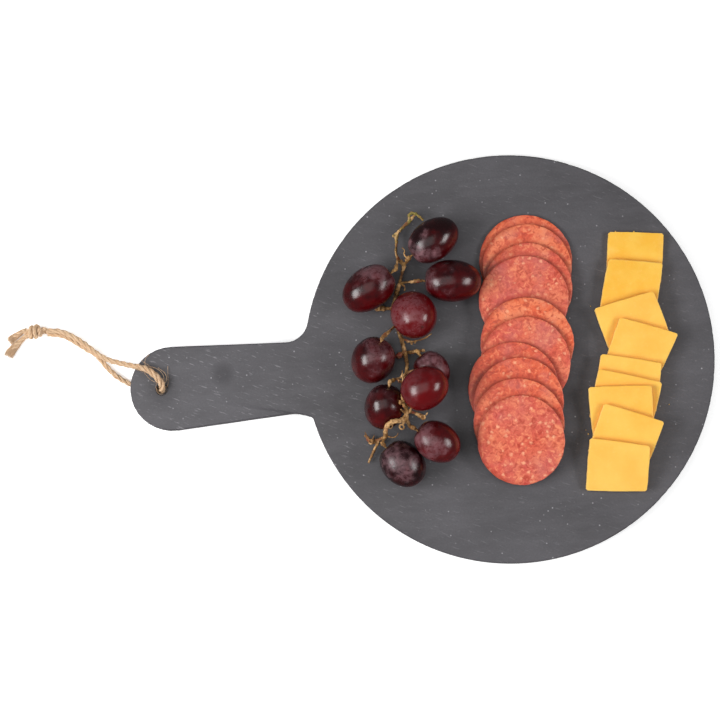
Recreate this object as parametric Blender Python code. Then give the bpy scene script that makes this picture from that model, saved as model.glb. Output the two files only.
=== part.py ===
"""Charcuterie board: a round slate with a handle and a loop of jute twine, laid with
grapes on their stem, a row of overlapping salami slices and a row of cheese slices.

Frame: +Z up, the handle points along -X, and the origin is at the bottom centre of the
box round the board. Every figure below is in millimetres or degrees, and every mesh is
scaled to metres as it is made.
"""

import itertools
import math

import bmesh
import bpy
import numpy as np
from mathutils import Euler, Matrix, Vector

MM = 0.001
GAP = 0.3                     # left between two pieces that touch

# Slate board
DISC_RADIUS = 114.3           # a 9 inch round
HANDLE_REACH = 212.4          # from the disc's centre to the end of the handle
HANDLE_END_RADIUS = 23.5
HANDLE_TAPER = 3.0            # each side leans in towards the neck
SLATE_THICKNESS = 6.0
SLATE_EDGE_BEVEL = 0.7
UPPER_NECK_RADIUS = 13.0
SHOULDER_X = -71.6            # where the handle's lower side turns outwards
SHOULDER_SLOPE = -20.0
SHOULDER_RADIUS = 18.0
LOWER_NECK_RADIUS = 2.5
HOLE_RADIUS = 3.0
HOLE_FLARE = 0.6
HOLE_INSET = 17.8             # from the end of the handle
DISC_X = (HANDLE_REACH - DISC_RADIUS) / 2
END_X = DISC_X - HANDLE_REACH + HANDLE_END_RADIUS

# Feet under the disc
FOOT_HEIGHT = 4.0
FOOT_RADIUS = 6.0
FOOT_SPREAD = 58.0            # along X and along Y from the disc's centre
BOARD_TOP = FOOT_HEIGHT + SLATE_THICKNESS

# Grapes: centre x, centre y, extra height, length, width, turn and rise of the stem end
GRAPE_SIDES = 14
GRAPE_RINGS = 9
GRAPE_DIMPLE = 1.0
GRAPES = {
    "grape_01": (12.8, 68.2, 0.0, 31.0, 23.2, 211, 0),
    "grape_02": (21.2, 44.4, 0.0, 32.6, 24.0, 175, 4),
    "grape_03": (-25.4, 44.3, 0.0, 32.4, 24.0, 30, 6),
    "grape_04": (-1.8, 27.2, 0.0, 29.0, 25.8, 115, -50),
    "grape_05": (-26.6, 4.5, 0.0, 27.0, 24.4, 60, 33),
    "grape_06": (5.4, -3.6, 0.0, 22.0, 19.4, 123, 0),
    "grape_07": (0.1, -14.6, 16.6, 27.6, 24.0, 205, -12),
    "grape_08": (-22.5, -21.7, 0.0, 26.0, 22.9, 72, 24),
    "grape_09": (-15.3, -54.0, 0.0, 28.0, 23.8, 130, 4),
    "grape_10": (4.5, -43.8, 7.4, 27.0, 22.3, 145, 8),
}

# Grape stem: joints as x, y, height above the board and radius
STEM_JOINTS = {
    "tip": (4.2, 84.8, 5.0, 1.0),
    "tip_fork": (0.8, 81.0, 4.8, 1.2),
    "bend_1": (-5.2, 76.2, 4.6, 1.3),
    "bend_2": (-7.5, 70.5, 4.6, 1.0),
    "node_1": (-7.7, 60.4, 6.4, 1.4),
    "twist": (-4.8, 56.2, 6.6, 1.1),
    "node_2": (-8.0, 46.5, 6.6, 1.7),
    "behind_1": (-11.3, 38.3, 3.6, 1.6),
    "behind_2": (-12.6, 33.4, 2.6, 1.6),
    "behind_3": (-12.2, 25.0, 2.2, 1.5),
    "node_3": (-10.0, 16.1, 4.6, 1.7),
    "node_4": (-8.7, 8.0, 6.6, 1.7),
    "side_1": (-8.1, -0.1, 9.6, 1.6),
    "side_2": (-9.5, -5.8, 13.0, 1.5),
    "over_1": (-11.4, -13.2, 17.4, 1.5),
    "over_2": (-12.1, -20.6, 21.6, 1.5),
    "over_3": (-10.8, -25.1, 18.6, 1.5),
    "node_5": (-11.6, -29.3, 15.6, 1.8),
    "hook_1": (-15.1, -30.5, 19.7, 1.5),
    "hook_2": (-18.4, -30.7, 21.4, 1.4),
    "hook_3": (-21.8, -32.3, 20.0, 1.4),
    "hook_4": (-23.2, -35.2, 15.6, 1.4),
    "hook_5": (-23.5, -38.2, 9.4, 1.5),
    "arm_1": (-6.4, -26.6, 13.6, 1.2),
    "arm_2": (-2.2, -29.2, 12.6, 1.7),
    "end_arm": (-9.0, -34.8, 12.4, 1.3),
    "stub_knob": (-21.6, 34.1, 2.8, 2.1),
    "tip_twig": (8.5, 81.1, 5.0, 0.9),
    "bend_twig": (-9.5, 73.2, 4.2, 0.9),
    "red_lump": (-12.2, 6.3, 6.4, 2.1),
    "left_1": (-27.0, -39.1, 5.4, 1.1),
    "left_stub": (-31.6, -39.8, 3.6, 1.8),
    "left_twig": (-34.8, -35.6, 3.0, 0.9),
    "low_twig": (-34.3, -51.3, 2.2, 0.9),
}
STEM_LINKS = (
    ("tip", "tip_fork", "bend_1", "bend_2", "node_1", "twist", "node_2", "behind_1"),
    ("behind_1", "behind_2", "behind_3", "node_3", "node_4", "side_1", "side_2"),
    ("side_2", "over_1", "over_2", "over_3", "node_5"),
    ("node_5", "hook_1", "hook_2", "hook_3", "hook_4", "hook_5"),
    ("over_3", "arm_1", "arm_2"),
    ("node_5", "end_arm"),
    ("hook_5", "left_1", "left_stub", "left_twig"),
    ("left_1", "low_twig"),
    ("behind_2", "stub_knob"),
    ("tip", "tip_twig"),
    ("bend_1", "bend_twig"),
    ("node_4", "red_lump"),
)
PEDICELS = {                  # the joint each grape hangs from
    "grape_01": "twist",
    "grape_02": "node_2",
    "grape_03": "node_1",
    "grape_04": "behind_1",
    "grape_05": "node_3",
    "grape_06": "node_4",
    "grape_07": "over_2",
    "grape_08": "side_2",
    "grape_09": "hook_5",
    "grape_10": "end_arm",
}
PEDICEL_RADIUS = 0.8
RECEPTACLE_RADIUS = 1.8
STEM_DETAIL = 0.29             # share of the stem's faces kept

# Salami: centre x, centre y and diameter, in the order they are laid
SALAMI_THICKNESS = 1.5
SALAMI_SIDES = 20
SALAMI_RINGS = (0.5, 0.86, 1.0)
SALAMI_LIMPNESS = 9.0
SALAMI = (
    (63.3, 53.4, 51.6), (63.6, 48.6, 50.2), (62.8, 37.4, 50.2), (59.9, 30.6, 50.2),
    (59.2, 6.5, 51.6), (57.4, -4.0, 50.2), (49.1, -17.7, 50.6), (51.4, -25.8, 49.6),
    (50.3, -37.4, 50.0), (50.7, -46.9, 48.8),
)

# Cheese: the corners of each slice in the order they are laid, anticlockwise from the
# lower left, as x and y
CHEESE_THICKNESS = 2.6
CHEESE_NIP = 0.9
CHEESE_BOW = 0.25
CHEESE_RINGS = (0.55, 1.0)
CHEESE_LIMPNESS = 2.5
CHEESE = (
    ((107.0, 36.9), (136.7, 33.2), (141.2, 61.1), (110.8, 64.9)),
    ((101.6, 22.8), (132.1, 17.5), (138.7, 44.2), (109.1, 49.4)),
    ((105.9, -4.9), (139.5, 1.7), (131.3, 28.7), (98.1, 22.2)),
    ((100.8, -9.1), (129.2, -19.7), (142.9, 4.1), (111.5, 15.9)),
    ((93.6, -30.3), (127.0, -38.1), (132.2, -11.2), (99.3, -3.2)),
    ((89.9, -37.6), (122.6, -48.2), (131.3, -22.1), (97.1, -11.4)),
    ((90.8, -48.5), (123.7, -50.7), (125.1, -23.3), (90.4, -21.0)),
    ((87.0, -56.5), (117.8, -69.0), (130.0, -43.8), (98.1, -30.8)),
    ((84.2, -77.3), (117.3, -80.9), (120.7, -56.5), (88.4, -49.1)),
)
SLICE_GRID = 1.3              # spacing of the points where a laid slice is held up

# Twine
TWINE = 2.8
TWINE_POINT_SPACING = 3.2
TWINE_OVER = (
    (-145.5, -0.1, 7.25), (-145.5, -0.1, 9.6), (-145.0, 1.0, 12.4), (-145.3, 3.6, 14.2),
    (-147.0, 6.4, 14.5), (-149.4, 9.2, 14.2), (-153.0, 11.8, 13.2), (-157.2, 13.6, 12.2),
    (-162.0, 15.0, 11.0), (-167.0, 16.7, 9.6), (-172.0, 18.5, 8.2), (-176.2, 20.6, 6.8),
    (-180.2, 23.4, 5.5), (-184.0, 26.8, 4.8), (-187.8, 30.3, 4.6), (-192.6, 34.0, 4.6),
    (-197.8, 37.1, 4.7), (-202.7, 38.7, 4.7), (-208.2, 39.1, 4.7),
)
TWINE_UNDER = (
    (-145.5, -0.1, 6.85), (-145.6, -0.1, 5.2), (-146.5, 0.1, 3.1), (-149.0, 0.9, 1.9),
    (-154.0, 2.4, 1.7), (-159.0, 4.0, 1.7), (-164.3, 5.7, 1.7), (-168.3, 8.2, 1.7),
    (-172.3, 11.5, 1.7), (-176.2, 16.1, 1.7), (-179.5, 20.9, 1.6), (-182.4, 24.2, 1.6),
    (-186.4, 27.0, 1.5), (-191.7, 31.0, 1.5), (-197.1, 34.8, 1.5), (-201.9, 36.8, 1.5),
    (-208.2, 37.9, 1.5),
)
TWINE_END_LONG = (
    (-220.9, 37.3, 2.6), (-223.6, 35.3, 1.9), (-226.4, 32.9, 1.6), (-229.2, 30.0, 1.5),
    (-231.6, 26.8, 1.5),
)
TWINE_END_SHORT = (
    (-221.4, 40.6, 2.4), (-224.3, 39.2, 1.8), (-227.4, 37.4, 1.5), (-230.4, 35.2, 1.5),
)
KNOT_CENTRE = (-214.7, 39.5, 3.9)
KNOT_SIZE = (11.6, 7.6, 7.0)
KNOT_TURN = 12.0
KNOT_WRAPS = 2
KNOT_GROOVE = 0.09
KNOT_SIDES = 16
KNOT_RINGS = 11


def clear_scene():
    for item in list(bpy.data.objects):
        bpy.data.objects.remove(item, do_unlink=True)


def make_material(name, colour, roughness, metallic=0.0):
    material = bpy.data.materials.new(name)
    material.use_nodes = True
    shader = material.node_tree.nodes["Principled BSDF"]
    shader.inputs["Base Color"].default_value = (*colour, 1.0)
    shader.inputs["Roughness"].default_value = roughness
    shader.inputs["Metallic"].default_value = metallic
    material.diffuse_color = (*colour, 1.0)
    return material


def add_mesh(name, points, faces, material, smooth_angle=40.0):
    """One object from points in millimetres, its faces turned outwards."""
    mesh = bpy.data.meshes.new(name)
    mesh.from_pydata([tuple(c * MM for c in point) for point in points], [], faces)
    shape = bmesh.new()
    shape.from_mesh(mesh)
    bmesh.ops.recalc_face_normals(shape, faces=shape.faces)
    shape.to_mesh(mesh)
    shape.free()
    mesh.shade_smooth()
    mesh.set_sharp_from_angle(angle=math.radians(smooth_angle))
    mesh.materials.append(material)
    item = bpy.data.objects.new(name, mesh)
    bpy.context.scene.collection.objects.link(item)
    return item


def ring_faces(rings, sides):
    """Quads between rings of points, closed by a fan at each pole point."""
    faces = []
    last = 1 + (rings - 1) * sides
    for i in range(sides):
        j = (i + 1) % sides
        faces.append((0, 1 + i, 1 + j))
        for ring in range(rings - 1):
            low = 1 + ring * sides
            faces.append((low + i, low + sides + i, low + sides + j, low + j))
        faces.append((last + i, last + sides, last + j))
    return faces


def turned(profile, sides):
    """A body turned round Z from (radius, height) pairs, its ends closed to points."""
    points = [(0.0, 0.0, profile[0][1])]
    for radius, height in profile:
        for i in range(sides):
            angle = 2 * math.pi * i / sides
            points.append((radius * math.cos(angle), radius * math.sin(angle), height))
    points.append((0.0, 0.0, profile[-1][1]))
    return points, ring_faces(len(profile), sides)


# ---------------------------------------------------------------- slate board

def unit(degrees):
    return np.array([math.cos(math.radians(degrees)), math.sin(math.radians(degrees))])


def heading(vector):
    return math.atan2(vector[1], vector[0])


def arc(centre, radius, start, end, steps):
    """Points on an arc between two headings in radians, both ends included."""
    angles = np.linspace(start, end, steps + 1)
    return [centre + radius * np.array([math.cos(a), math.sin(a)]) for a in angles]


def neck_fillet(start, direction, outward, radius):
    """Centre of the fillet between a straight side and the disc."""
    offset = start + outward * radius - np.array([DISC_X, 0.0])
    along = offset @ direction
    reach = math.sqrt(along ** 2 - offset @ offset + (DISC_RADIUS + radius) ** 2)
    return start + outward * radius - direction * (along + reach)


def board_outline():
    """The board seen from above, anticlockwise from the lower side of the neck."""
    disc = np.array([DISC_X, 0.0])
    end = np.array([END_X, 0.0])
    upper_side, upper_out = unit(-HANDLE_TAPER), unit(90 - HANDLE_TAPER)
    lower_side, lower_out = unit(HANDLE_TAPER), unit(HANDLE_TAPER - 90)
    shoulder_side, shoulder_out = unit(SHOULDER_SLOPE), unit(SHOULDER_SLOPE - 90)

    upper_start = end + upper_out * HANDLE_END_RADIUS
    upper_fillet = neck_fillet(upper_start, upper_side, upper_out, UPPER_NECK_RADIUS)

    lower_start = end + lower_out * HANDLE_END_RADIUS
    run = (SHOULDER_X - lower_start[0]) / lower_side[0]
    shoulder = lower_start + lower_side * run
    bend = math.radians(HANDLE_TAPER - SHOULDER_SLOPE)
    tangent = SHOULDER_RADIUS * math.tan(bend / 2)
    shoulder_arc = shoulder - lower_side * tangent + lower_out * SHOULDER_RADIUS
    lower_fillet = neck_fillet(shoulder, shoulder_side, shoulder_out, LOWER_NECK_RADIUS)

    points = arc(disc, DISC_RADIUS, heading(lower_fillet - disc), heading(upper_fillet - disc), 84)
    points += arc(upper_fillet, UPPER_NECK_RADIUS, heading(disc - upper_fillet), heading(-upper_out), 7)[1:]
    points += arc(end, HANDLE_END_RADIUS, heading(upper_out), heading(lower_out) + 2 * math.pi, 18)
    points += arc(shoulder_arc, SHOULDER_RADIUS, heading(-lower_out), heading(-shoulder_out), 4)
    points += arc(lower_fillet, LOWER_NECK_RADIUS, heading(-shoulder_out), heading(disc - lower_fillet), 4)[:-1]
    return points


def add_board(material):
    outline = board_outline()
    count = len(outline)
    points = [(x, y, FOOT_HEIGHT) for x, y in outline] + [(x, y, BOARD_TOP) for x, y in outline]
    faces = [tuple(range(count)), tuple(range(count, 2 * count))]
    for i in range(count):
        j = (i + 1) % count
        faces.append((i, j, count + j, count + i))
    board = add_mesh("slate_board", points, faces, material)
    bevel = board.modifiers.new("worn edge", "BEVEL")
    bevel.width = SLATE_EDGE_BEVEL * MM
    bevel.segments = 1
    bevel.limit_method = "ANGLE"
    bevel.angle_limit = math.radians(60)

    half = SLATE_THICKNESS / 2
    flared = HOLE_RADIUS + 2 * HOLE_FLARE
    profile = [(flared, -half - HOLE_FLARE), (HOLE_RADIUS, HOLE_FLARE - half),
               (HOLE_RADIUS, half - HOLE_FLARE), (flared, half + HOLE_FLARE)]
    points, faces = turned(profile, 20)
    drill = add_mesh("hole_drill", points, faces, material)
    drill.location = Vector((END_X - HANDLE_END_RADIUS + HOLE_INSET, 0.0, BOARD_TOP - half)) * MM
    drill.display_type = "WIRE"
    drill.hide_render = True
    cut = board.modifiers.new("hanging hole", "BOOLEAN")
    cut.operation = "DIFFERENCE"
    cut.solver = "EXACT"
    cut.object = drill


def add_feet(material):
    height = FOOT_HEIGHT - GAP
    profile = [(FOOT_RADIUS - 0.8, 0.0), (FOOT_RADIUS, 0.8), (FOOT_RADIUS, height)]
    corners = itertools.product((-FOOT_SPREAD, FOOT_SPREAD), repeat=2)
    for number, (dx, dy) in enumerate(corners, 1):
        points, faces = turned(profile, 16)
        foot = add_mesh(f"foot_{number}", points, faces, material)
        foot.location = Vector((DISC_X + dx, dy, 0.0)) * MM


# ---------------------------------------------------------------- grapes and stem

def grape_shape(length, width):
    """A plump oval along X with blunt ends and a dimple at the stem end, +X."""
    rings = []
    for ring in range(GRAPE_RINGS + 1):
        phi = math.pi * ring / GRAPE_RINGS
        radius = width / 2 * math.sin(phi) ** 0.92 * (1 + 0.03 * math.cos(phi))
        dimple = GRAPE_DIMPLE * math.exp(-(radius / (0.2 * width)) ** 2) if phi < 1 else 0
        rings.append((length / 2 * math.cos(phi) - dimple, radius))
    points = [(rings[0][0], 0.0, 0.0)]
    for x, radius in rings[1:-1]:
        for i in range(GRAPE_SIDES):
            angle = 2 * math.pi * i / GRAPE_SIDES
            points.append((x, radius * math.cos(angle), radius * math.sin(angle)))
    points.append((rings[-1][0], 0.0, 0.0))
    return points, ring_faces(GRAPE_RINGS - 1, GRAPE_SIDES)


def grape_place(name):
    """Where a grape lies: its turned frame, resting on the board or raised above it."""
    x, y, lift, length, width, turn, rise = GRAPES[name]
    rise = math.radians(rise)
    half = math.hypot(length / 2 * math.sin(rise), width / 2 * math.cos(rise))
    centre = Vector((x, y, BOARD_TOP + GAP + half + lift))
    spin = Euler((0.0, -rise, math.radians(turn))).to_matrix().to_4x4()
    return Matrix.Translation(centre) @ spin


def add_grapes(material):
    for name, (_x, _y, _lift, length, width, _turn, _rise) in GRAPES.items():
        points, faces = grape_shape(length, width)
        place = grape_place(name)
        add_mesh(name, [place @ Vector(point) for point in points], faces, material, 180)


def pedicel(name):
    """The short stalk of one grape: points and radii from its joint to the dimple."""
    length = GRAPES[name][3]
    place = grape_place(name)
    axis = (place.to_3x3() @ Vector((1.0, 0.0, 0.0))).normalized()
    end = place @ Vector((length / 2 - GRAPE_DIMPLE, 0.0, 0.0)) + axis * (GAP + 0.2)
    collar = end + axis * 1.6
    x, y, height, _radius = STEM_JOINTS[PEDICELS[name]]
    joint = Vector((x, y, BOARD_TOP + height))
    middle = joint.lerp(collar, 0.55) + Vector((0.0, 0.0, 0.4))
    return [(middle, PEDICEL_RADIUS), (collar, RECEPTACLE_RADIUS), (end, RECEPTACLE_RADIUS * 0.8)]


def add_stem(material):
    points, radii, edges, index = [], [], [], {}
    for name, (x, y, height, radius) in STEM_JOINTS.items():
        index[name] = len(points)
        points.append((x * MM, y * MM, (BOARD_TOP + height) * MM))
        radii.append(radius)
    for chain in STEM_LINKS:
        edges += [(index[a], index[b]) for a, b in zip(chain, chain[1:])]
    for name, joint in PEDICELS.items():
        last = index[joint]
        for point, radius in pedicel(name):
            edges.append((last, len(points)))
            last = len(points)
            points.append(tuple(point * MM))
            radii.append(radius)
    mesh = bpy.data.meshes.new("grape_stem")
    mesh.from_pydata(points, edges, [])
    mesh.materials.append(material)
    stem = bpy.data.objects.new("grape_stem", mesh)
    bpy.context.scene.collection.objects.link(stem)
    stem.modifiers.new("bark", "SKIN").use_smooth_shade = True
    for vertex, radius in zip(mesh.skin_vertices[0].data, radii):
        vertex.radius = (radius * MM, radius * MM)
    mesh.skin_vertices[0].data[index["node_4"]].use_root = True
    rounding = stem.modifiers.new("rounding", "SUBSURF")
    rounding.levels = 1
    rounding.render_levels = 1
    thinning = stem.modifiers.new("thinning", "DECIMATE")
    thinning.ratio = STEM_DETAIL


# ---------------------------------------------------------------- sliced food

def inside(points, rim, margin):
    """Which points lie within a convex rim, widened by a margin."""
    along = np.roll(rim, -1, axis=0) - rim
    along /= np.linalg.norm(along, axis=1)[:, None]
    offset = points[:, None, :] - rim[None, :, :]
    side = along[None, :, 0] * offset[:, :, 1] - along[None, :, 1] * offset[:, :, 0]
    return (side > -margin).all(axis=1)


def bed_terms(points, centre, reach):
    x, y = ((points - centre) / reach).T
    return np.stack([x, y, x * x, x * y, y * y], axis=1)


def bed_height(points, bed):
    centre, reach, height, slopes = bed
    return height + bed_terms(points, centre, reach) @ slopes


def settle(rim, limpness, laid):
    """The lowest gently curved bed for a slice that clears the board and what lies there."""
    centre = rim.mean(axis=0)
    reach = np.abs(rim - centre).max()
    ticks = np.arange(-reach, reach + SLICE_GRID, SLICE_GRID)
    grid = np.array(list(itertools.product(ticks, ticks))) + centre
    grid = np.concatenate([grid[inside(grid, rim, 0.0)], rim])
    floor = np.full(len(grid), BOARD_TOP)
    for other_rim, other_bed, thickness in laid:
        under = inside(grid, other_rim, SLICE_GRID)
        floor[under] = np.maximum(floor[under], bed_height(grid[under], other_bed) + thickness)
    floor += GAP
    terms = bed_terms(grid, centre, reach)
    moves = np.array(list(itertools.product((-1, 0, 1), repeat=5)), dtype=float)
    slopes = np.zeros(5)
    step = 2.0
    best = None
    while step > 0.02:
        trial = slopes + step * moves
        beds = terms @ trial.T
        height = (floor[:, None] - beds).max(axis=0)
        cost = height + beds.mean(axis=0) + (trial[:, 2:] ** 2).sum(axis=1) / limpness
        pick = int(cost.argmin())
        if best is None or cost[pick] < best[0] - 1e-6:
            best = (cost[pick], height[pick])
            slopes = trial[pick]
        else:
            step /= 2
    return centre, reach, best[1], slopes


def slice_mesh(rim, fractions, bed, thickness):
    """A slice as rings about its centre, its two faces following the bed."""
    centre = bed[0]
    flat = [centre[None, :]] + [centre + (rim - centre) * f for f in fractions]
    low = [(x, y, z) for ring in flat for (x, y), z in zip(ring, bed_height(ring, bed))]
    high = [(x, y, z + thickness) for x, y, z in low]
    sides = len(rim)
    rows = len(fractions)
    points = low + [p for row in range(rows, 0, -1) for p in high[1 + (row - 1) * sides:1 + row * sides]]
    points.append(high[0])
    return points, ring_faces(2 * rows, sides)


def salami_rim(number, x, y, diameter):
    """Nearly round, each slice a little out of true in its own way."""
    rim = []
    for i in range(SALAMI_SIDES):
        angle = 2 * math.pi * i / SALAMI_SIDES
        wobble = 0.010 * math.sin(2 * angle + 1.7 * number) + 0.006 * math.sin(3 * angle + 2.9 * number)
        radius = diameter / 2 * (1 + wobble)
        rim.append((x + radius * math.cos(angle), y + radius * math.sin(angle)))
    return np.array(rim)


def cheese_rim(corners):
    """Four sides that bow a little between nipped corners."""
    corners = np.array(corners)
    rim = []
    for start, end in zip(corners, np.roll(corners, -1, axis=0)):
        run = end - start
        along = run / np.linalg.norm(run)
        bow = np.array([along[1], -along[0]]) * CHEESE_BOW
        rim += [start + along * CHEESE_NIP, start + run / 3 + bow, start + run * 2 / 3 + bow]
        rim.append(end - along * CHEESE_NIP)
    return np.array(rim)


def add_slices(material_salami, material_cheese):
    laid = []
    for number, (x, y, diameter) in enumerate(SALAMI, 1):
        rim = salami_rim(number, x, y, diameter)
        bed = settle(rim, SALAMI_LIMPNESS, laid)
        laid.append((rim, bed, SALAMI_THICKNESS))
        points, faces = slice_mesh(rim, SALAMI_RINGS, bed, SALAMI_THICKNESS)
        add_mesh(f"salami_{number:02d}", points, faces, material_salami)
    laid = []
    for number, corners in enumerate(CHEESE, 1):
        rim = cheese_rim(corners)
        bed = settle(rim, CHEESE_LIMPNESS, laid)
        laid.append((rim, bed, CHEESE_THICKNESS))
        points, faces = slice_mesh(rim, CHEESE_RINGS, bed, CHEESE_THICKNESS)
        add_mesh(f"cheese_{number:02d}", points, faces, material_cheese)


# ---------------------------------------------------------------- twine

def smooth_route(route, spacing):
    """Evenly spaced points on a smooth curve through a route's own points."""
    knots = np.array([2 * np.array(route[0]) - route[1], *route, 2 * np.array(route[-1]) - route[-2]])
    fine = []
    for p0, p1, p2, p3 in zip(knots, knots[1:], knots[2:], knots[3:]):
        for t in np.linspace(0, 1, 12, endpoint=False):
            fine.append(0.5 * (2 * p1 + (p2 - p0) * t + (2 * p0 - 5 * p1 + 4 * p2 - p3) * t ** 2
                               + (3 * p1 - p0 - 3 * p2 + p3) * t ** 3))
    fine = np.array([*fine, knots[-2]])
    walked = np.concatenate([[0], np.cumsum(np.linalg.norm(np.diff(fine, axis=0), axis=1))])
    stops = np.linspace(0, walked[-1], max(2, round(walked[-1] / spacing)) + 1)
    return np.stack([np.interp(stops, walked, fine[:, axis]) for axis in range(3)], axis=1)


def add_twine(name, route, material):
    points = smooth_route(route, TWINE_POINT_SPACING)
    curve = bpy.data.curves.new(name, "CURVE")
    curve.dimensions = "3D"
    curve.bevel_depth = TWINE / 2 * MM
    curve.bevel_resolution = 2
    curve.use_fill_caps = True
    spline = curve.splines.new("POLY")
    spline.points.add(len(points) - 1)
    for item, point in zip(spline.points, points):
        item.co = (*(point * MM), 1.0)
    curve.materials.append(material)
    bpy.context.scene.collection.objects.link(bpy.data.objects.new(name, curve))


def add_knot(material):
    """The overhand knot: an oval lump with the grooves of the turns winding round it."""
    half = [size / 2 for size in KNOT_SIZE]
    points = [(-half[0], 0.0, 0.0)]
    for ring in range(1, KNOT_RINGS):
        phi = math.pi * ring / KNOT_RINGS
        for i in range(KNOT_SIDES):
            angle = 2 * math.pi * i / KNOT_SIDES
            swell = 1 + KNOT_GROOVE * math.cos(KNOT_WRAPS * angle + 2.4 * phi)
            radius = math.sin(phi) ** 0.8 * swell
            points.append((-half[0] * math.cos(phi), radius * half[1] * math.cos(angle),
                           radius * half[2] * math.sin(angle)))
    points.append((half[0], 0.0, 0.0))
    place = Matrix.Translation(KNOT_CENTRE) @ Matrix.Rotation(math.radians(KNOT_TURN), 4, "Z")
    lump = [place @ Vector(point) for point in points]
    add_mesh("twine_knot", lump, ring_faces(KNOT_RINGS - 1, KNOT_SIDES), material, 180)


def build():
    clear_scene()
    slate = make_material("slate", (0.10, 0.10, 0.108), 0.62)
    rubber = make_material("foot rubber", (0.03, 0.03, 0.03), 0.8)
    skin = make_material("grape skin", (0.12, 0.012, 0.02), 0.3)
    bark = make_material("grape stem", (0.42, 0.27, 0.12), 0.7)
    meat = make_material("salami", (0.62, 0.14, 0.07), 0.45)
    cheddar = make_material("cheddar", (0.95, 0.50, 0.06), 0.45)
    jute = make_material("jute", (0.62, 0.40, 0.20), 0.9)
    add_board(slate)
    add_feet(rubber)
    add_grapes(skin)
    add_stem(bark)
    add_slices(meat, cheddar)
    add_twine("twine_over", TWINE_OVER, jute)
    add_twine("twine_under", TWINE_UNDER, jute)
    add_twine("twine_end_long", TWINE_END_LONG, jute)
    add_twine("twine_end_short", TWINE_END_SHORT, jute)
    add_knot(jute)


build()
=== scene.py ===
import math

import bpy
import numpy as np
from mathutils import Euler, Matrix, Vector, noise


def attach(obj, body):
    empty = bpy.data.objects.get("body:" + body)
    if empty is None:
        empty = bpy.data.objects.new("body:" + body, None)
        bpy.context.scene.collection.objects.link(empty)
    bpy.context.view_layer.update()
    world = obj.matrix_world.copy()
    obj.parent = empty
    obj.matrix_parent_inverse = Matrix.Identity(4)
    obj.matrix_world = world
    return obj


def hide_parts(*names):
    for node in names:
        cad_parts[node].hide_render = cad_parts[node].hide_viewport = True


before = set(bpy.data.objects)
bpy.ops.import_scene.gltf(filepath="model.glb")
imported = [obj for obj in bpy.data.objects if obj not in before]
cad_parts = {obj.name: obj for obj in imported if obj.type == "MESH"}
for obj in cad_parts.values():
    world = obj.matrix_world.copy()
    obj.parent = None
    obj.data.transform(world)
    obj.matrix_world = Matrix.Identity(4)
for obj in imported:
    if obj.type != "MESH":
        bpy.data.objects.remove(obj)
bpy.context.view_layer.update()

MM = 0.001
bpy.ops.object.select_all(action="DESELECT")


# ---------------------------------------------------------------- camera
# A long lens almost straight above the board, turned a little so that the handle drops
# towards the left of the picture.
LOOK_AT = Vector((-33.86, 6.37, 10.0)) * MM
LOOK_FROM = Vector((0.0118, -0.0841, 0.99639)).normalized()
CAMERA_DISTANCE = 1.2
PICTURE_TURN = math.radians(5.15)

camera = bpy.data.objects.new("camera", bpy.data.cameras.new("camera"))
bpy.context.scene.collection.objects.link(camera)
camera.data.lens = 107.52
camera.data.sensor_width = 36.0
camera.data.clip_start = 0.01
picture_up = Vector((math.sin(PICTURE_TURN), math.cos(PICTURE_TURN), 0.0))
picture_up = (picture_up - LOOK_FROM * picture_up.dot(LOOK_FROM)).normalized()
picture_right = picture_up.cross(LOOK_FROM)
turn = Matrix((picture_right, picture_up, LOOK_FROM)).transposed().to_4x4()
camera.matrix_world = Matrix.Translation(LOOK_AT + LOOK_FROM * CAMERA_DISTANCE) @ turn
bpy.context.scene.camera = camera


# ---------------------------------------------------------------- hanging twine
# One length of three-ply jute runs through the hole in the handle, and its two ends are
# tied together in an overhand knot. The plies are loose and hairy where they bend through
# the hole, and the cut tails past the knot have opened into a brush.
TWINE_PITCH = 13.0            # one turn of the three plies
PLY_SPREAD = 0.72             # from the twine's middle to the middle of a ply
PLY_RADIUS = 0.80
TWINE_OVER = (
    (-145.5, -0.1, 7.25), (-145.5, -0.1, 9.6), (-145.0, 1.0, 12.4), (-145.3, 3.6, 14.2),
    (-147.0, 6.4, 14.5), (-149.4, 9.2, 14.2), (-153.0, 11.8, 13.2), (-157.2, 13.6, 12.2),
    (-162.0, 15.0, 11.0), (-167.0, 16.7, 9.6), (-172.0, 18.5, 8.2), (-176.2, 20.6, 6.8),
    (-180.2, 23.4, 5.5), (-184.0, 26.8, 4.8), (-187.8, 30.3, 4.6), (-192.6, 34.0, 4.6),
    (-197.8, 37.1, 4.7), (-202.7, 38.7, 4.7), (-208.2, 39.1, 4.7),
)
TWINE_UNDER = (
    (-145.5, -0.1, 6.85), (-145.6, -0.1, 5.2), (-146.5, 0.1, 3.1), (-149.0, 0.9, 1.9),
    (-154.0, 2.4, 1.7), (-159.0, 4.0, 1.7), (-164.3, 5.7, 1.7), (-168.3, 8.2, 1.7),
    (-172.3, 11.5, 1.7), (-176.2, 16.1, 1.7), (-179.5, 20.9, 1.6), (-182.4, 24.2, 1.6),
    (-186.4, 27.0, 1.5), (-191.7, 31.0, 1.5), (-197.1, 34.8, 1.5), (-201.9, 36.8, 1.5),
    (-208.2, 37.9, 1.5),
)
TWINE_END_LONG = (
    (-219.4, 38.4, 3.2), (-220.9, 37.3, 2.6), (-223.6, 35.3, 1.9), (-226.4, 32.9, 1.6),
    (-229.2, 30.0, 1.5), (-231.6, 26.8, 1.5),
)
TWINE_END_SHORT = (
    (-219.6, 41.0, 3.0), (-221.4, 40.6, 2.4), (-224.3, 39.2, 1.8), (-227.4, 37.4, 1.5),
    (-230.4, 35.2, 1.5),
)
KNOT_CENTRE = Vector((-214.7, 39.5, 3.9))
KNOT_TURN = math.radians(12.0)


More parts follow.
